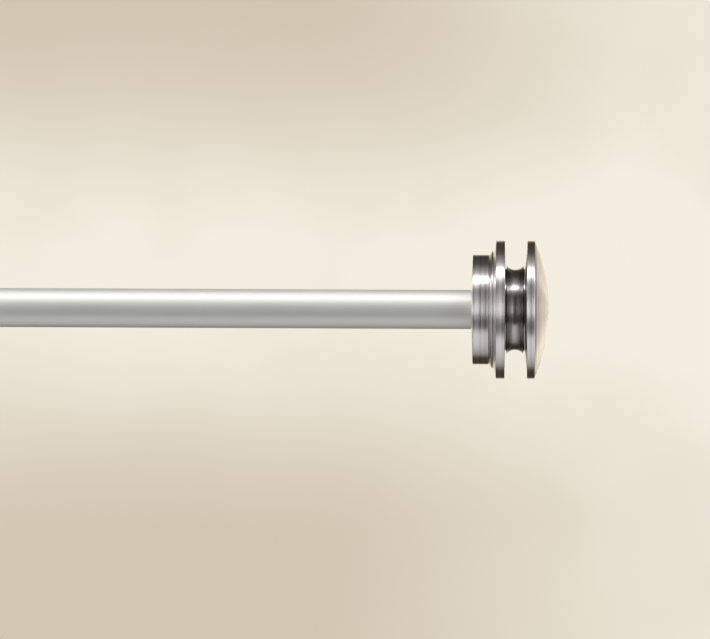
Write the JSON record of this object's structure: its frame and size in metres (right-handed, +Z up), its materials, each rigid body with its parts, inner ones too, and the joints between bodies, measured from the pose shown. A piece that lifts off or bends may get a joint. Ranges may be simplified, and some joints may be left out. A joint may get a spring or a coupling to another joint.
{
  "type": "curtain rod with brackets",
  "caption": "Telescoping round curtain rod with turned disc finials, held in open cradles on wall brackets whose arms slide out.",
  "frame": {"origin": "centre of the left wall plate's back face, on the wall", "axes": "+X along the rod towards the right finial, +Y out of the plates' backs into the wall, +Z up"},
  "size_m": [0.9903, 0.1226, 0.0672],
  "materials": {
    "rod_satin": "satin nickel plate with fine drawn lines along the tube",
    "finial_nickel": "turned metal, brushed and nickel plated, with fine rings around it",
    "bracket_nickel": "satin nickel plate",
    "fastener_steel": "zinc-plated steel",
    "grey_nylon": "moulded nylon"
  },
  "bodies": {
    "wall_parts": {"left_wall_plate": "fastener_steel", "left_rosette_cover": "bracket_nickel", "left_sleeve": "bracket_nickel", "right_wall_plate": "fastener_steel", "right_rosette_cover": "bracket_nickel", "right_sleeve": "bracket_nickel"},
    "left_arm_body": {"left_arm": "bracket_nickel", "left_cradle": "bracket_nickel"},
    "right_arm_body": {"right_arm": "bracket_nickel", "right_cradle": "bracket_nickel"},
    "rod": {"outer_tube": "rod_satin", "outer_plug": "fastener_steel", "mouth_cap": "grey_nylon"},
    "inner_rod": {"inner_tube": "rod_satin", "inner_plug": "fastener_steel", "inner_glide": "grey_nylon"},
    "right_finial": {"right_collar": "finial_nickel", "right_bead_ring": "finial_nickel", "right_flange": "finial_nickel", "right_neck": "finial_nickel", "right_end_cap": "finial_nickel", "right_stud": "fastener_steel", "right_stud_nut": "fastener_steel"},
    "left_finial": {"left_collar": "finial_nickel", "left_bead_ring": "finial_nickel", "left_flange": "finial_nickel", "left_neck": "finial_nickel", "left_end_cap": "finial_nickel", "left_stud": "fastener_steel", "left_stud_nut": "fastener_steel"},
    "left_thumb": {"left_thumb_screw": "bracket_nickel"},
    "right_thumb": {"right_thumb_screw": "bracket_nickel"},
    "left_lock": {"left_lock_screw": "bracket_nickel"},
    "right_lock": {"right_lock_screw": "bracket_nickel"}
  },
  "joints": [
    {"name": "left_arm_slide", "type": "slide", "parent": "wall_parts", "child": "left_arm_body", "axis": [0, -1, 0], "range_m": [0, 0.032]},
    {"name": "right_arm_slide", "type": "slide", "parent": "wall_parts", "child": "right_arm_body", "axis": [0, -1, 0], "range_m": [0, 0.032]},
    {"name": "rod_slide", "type": "slide", "parent": "left_arm_body", "child": "rod", "axis": [1, 0, 0], "range_m": [-0.265, 0.016]},
    {"name": "telescope_slide", "type": "slide", "parent": "rod", "child": "inner_rod", "axis": [-1, 0, 0], "range_m": [-0.203, 0.305]},
    {"name": "right_finial_turn", "type": "hinge", "parent": "rod", "child": "right_finial", "pos_m": [0.6344, -0.0889, 0], "axis": [1, 0, 0], "continuous": true},
    {"name": "left_finial_turn", "type": "hinge", "parent": "inner_rod", "child": "left_finial", "pos_m": [-0.28, -0.0889, 0], "axis": [-1, 0, 0], "continuous": true},
    {"name": "left_thumb_slide", "type": "slide", "parent": "left_arm_body", "child": "left_thumb", "axis": [0, -1, 0], "range_m": [0, 0.005]},
    {"name": "right_thumb_slide", "type": "slide", "parent": "right_arm_body", "child": "right_thumb", "axis": [0, -1, 0], "range_m": [0, 0.005]},
    {"name": "left_lock_slide", "type": "slide", "parent": "wall_parts", "child": "left_lock", "axis": [0, 0, -1], "range_m": [0, 0.003]},
    {"name": "right_lock_slide", "type": "slide", "parent": "wall_parts", "child": "right_lock", "axis": [0, 0, -1], "range_m": [0, 0.003]}
  ],
  "couplings": [
    {"joint": "right_arm_slide", "follows": "left_arm_slide", "ratio": 1}
  ]
}
